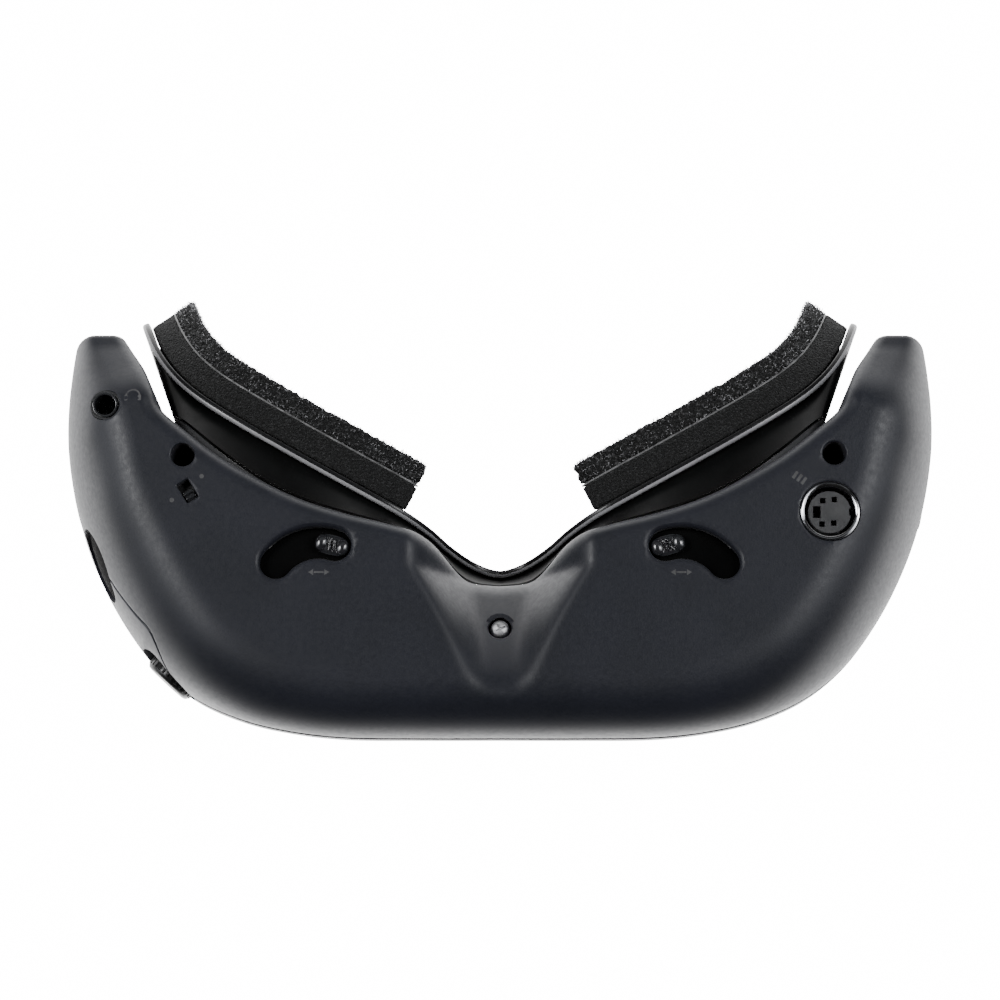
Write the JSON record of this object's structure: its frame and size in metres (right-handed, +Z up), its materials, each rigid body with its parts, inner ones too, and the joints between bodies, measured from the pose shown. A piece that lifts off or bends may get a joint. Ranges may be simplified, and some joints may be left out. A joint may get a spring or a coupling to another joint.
{
  "type": "fpv goggles",
  "caption": "Crescent-shaped FPV video goggles with sliding eyepieces, eye-distance levers, a foam faceplate, sockets, switches and strap slots in the arms.",
  "frame": {"origin": "on the surface the goggles stand on, under the middle of their bounding box", "axes": "+X to the wearer's left, -Y the way the wearer looks, +Z up"},
  "size_m": [0.1639, 0.0878, 0.07],
  "materials": {
    "shell": "soft-touch matte black moulded plastic",
    "gloss": "glossy black moulded plastic",
    "keys": "satin black plastic",
    "foam_dense": "fine black closed-cell foam",
    "foam_soft": "coarse open-cell dark gray foam",
    "steel": "bright plated steel",
    "lens": "clear polished lens",
    "board": "green circuit board",
    "insulator": "gray moulded socket insulator",
    "screen": "dark display glass"
  },
  "bodies": {
    "housing": {"bottom_shell": "shell", "case_screw_left": "steel", "case_screw_nose": "steel", "case_screw_right": "steel", "data_socket_core": "insulator", "data_socket_shell": "steel", "eyepiece_frame": "gloss", "faceplate": "gloss", "foam_base_left": "foam_dense", "foam_base_right": "foam_dense", "foam_face_left": "foam_soft", "foam_face_right": "foam_soft", "front_cover": "shell", "headphone_jack": "keys", "main_board": "board", "menu_stick_cup": "shell", "mode_switch_body": "steel", "power_socket": "keys", "receiver_module": "steel", "rod_bracket_left": "shell", "rod_bracket_right": "shell", "rod_lower": "steel", "rod_upper": "steel", "side_key_cup": "shell", "top_shell": "shell"},
    "ipd_lever_left": {"ipd_lever_left": "keys"},
    "ipd_lever_right": {"ipd_lever_right": "keys"},
    "optics_left": {"optic_carriage_left": "keys", "eyepiece_lens_left": "lens", "display_panel_left": "screen", "display_board_left": "board"},
    "optics_right": {"optic_carriage_right": "keys", "eyepiece_lens_right": "lens", "display_panel_right": "screen", "display_board_right": "board"},
    "mode_switch_knob": {"mode_switch_knob": "keys"},
    "side_key": {"side_key": "keys"},
    "menu_stick": {"menu_stick": "keys"},
    "power_key": {"power_key": "keys"},
    "menu_key": {"menu_key": "keys"}
  },
  "joints": [
    {"name": "ipd_lever_left_turn", "type": "hinge", "parent": "housing", "child": "ipd_lever_left", "pos_m": [0.0326, -0.0195, 0.0029], "axis": [0, 0, -1], "range_deg": [0, 62]},
    {"name": "ipd_lever_right_turn", "type": "hinge", "parent": "housing", "child": "ipd_lever_right", "pos_m": [-0.0326, -0.0195, 0.0029], "axis": [0, 0, 1], "range_deg": [0, 62]},
    {"name": "optics_left_slide", "type": "slide", "parent": "housing", "child": "optics_left", "axis": [1, 0, 0], "range_m": [0, 0.005]},
    {"name": "optics_right_slide", "type": "slide", "parent": "housing", "child": "optics_right", "axis": [-1, 0, 0], "range_m": [0, 0.005]},
    {"name": "mode_switch_slide", "type": "slide", "parent": "housing", "child": "mode_switch_knob", "axis": [0.5299, 0.848, 0], "range_m": [0, 0.0015]},
    {"name": "side_key_press", "type": "slide", "parent": "housing", "child": "side_key", "axis": [-0.91, 0.3811, 0.1634], "range_m": [0, 0.0006], "stiffness_N_per_m": 400},
    {"name": "menu_stick_press", "type": "slide", "parent": "housing", "child": "menu_stick", "axis": [-0.6722, 0.7404, -0.0067], "range_m": [0, 0.0006], "stiffness_N_per_m": 400},
    {"name": "power_key_press", "type": "slide", "parent": "housing", "child": "power_key", "axis": [0.9788, 0.2012, -0.0377], "range_m": [0, 0.0006], "stiffness_N_per_m": 400},
    {"name": "menu_key_press", "type": "slide", "parent": "housing", "child": "menu_key", "axis": [0.9971, 0.0642, -0.0401], "range_m": [0, 0.0005], "stiffness_N_per_m": 400}
  ],
  "couplings": [
    {"joint": "ipd_lever_left_turn", "follows": "optics_left_slide", "rad_per_m": 216.42},
    {"joint": "ipd_lever_right_turn", "follows": "optics_right_slide", "rad_per_m": 216.42}
  ]
}
